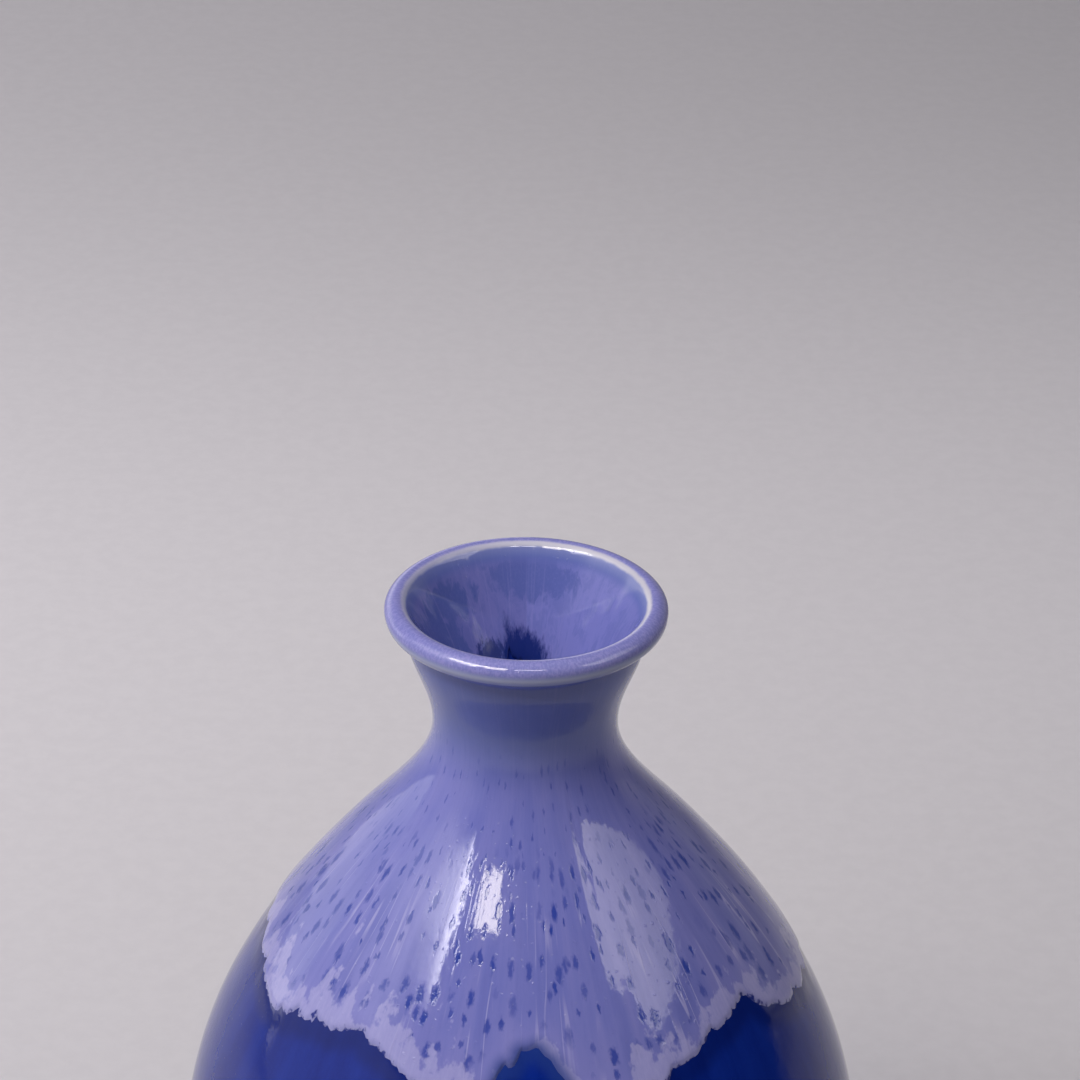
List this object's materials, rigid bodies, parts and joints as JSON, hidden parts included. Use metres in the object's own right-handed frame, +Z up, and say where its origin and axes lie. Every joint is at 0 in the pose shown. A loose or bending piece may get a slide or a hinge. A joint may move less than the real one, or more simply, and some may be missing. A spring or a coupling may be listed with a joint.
{
  "type": "ceramic bud vase",
  "caption": "Small round-bellied stoneware bud vase with a narrow neck, a flared rolled lip and a trimmed foot ring, glazed cobalt with a periwinkle overglaze dripping over its shoulder.",
  "frame": {"origin": "centre of the foot ring's resting face, at the middle of the bottom of the bounding box", "axes": "+Z up along the vase's turning axis, from the foot to the lip; -Y is the side seen from the front, and +X is to its right"},
  "size_m": [0.1, 0.1, 0.15],
  "materials": {
    "stoneware": "matte, unglazed, fired",
    "cobalt_glaze": "gloss",
    "cobalt_liner_glaze": "gloss",
    "periwinkle_glaze": "gloss, speckled and streaked",
    "cobalt_foot_glaze": "gloss"
  },
  "bodies": {
    "root": {"clay_body": "stoneware", "base_glaze": "cobalt_glaze", "liner_glaze": "cobalt_liner_glaze", "overglaze": "periwinkle_glaze", "foot_glaze": "cobalt_foot_glaze"}
  },
  "joints": []
}
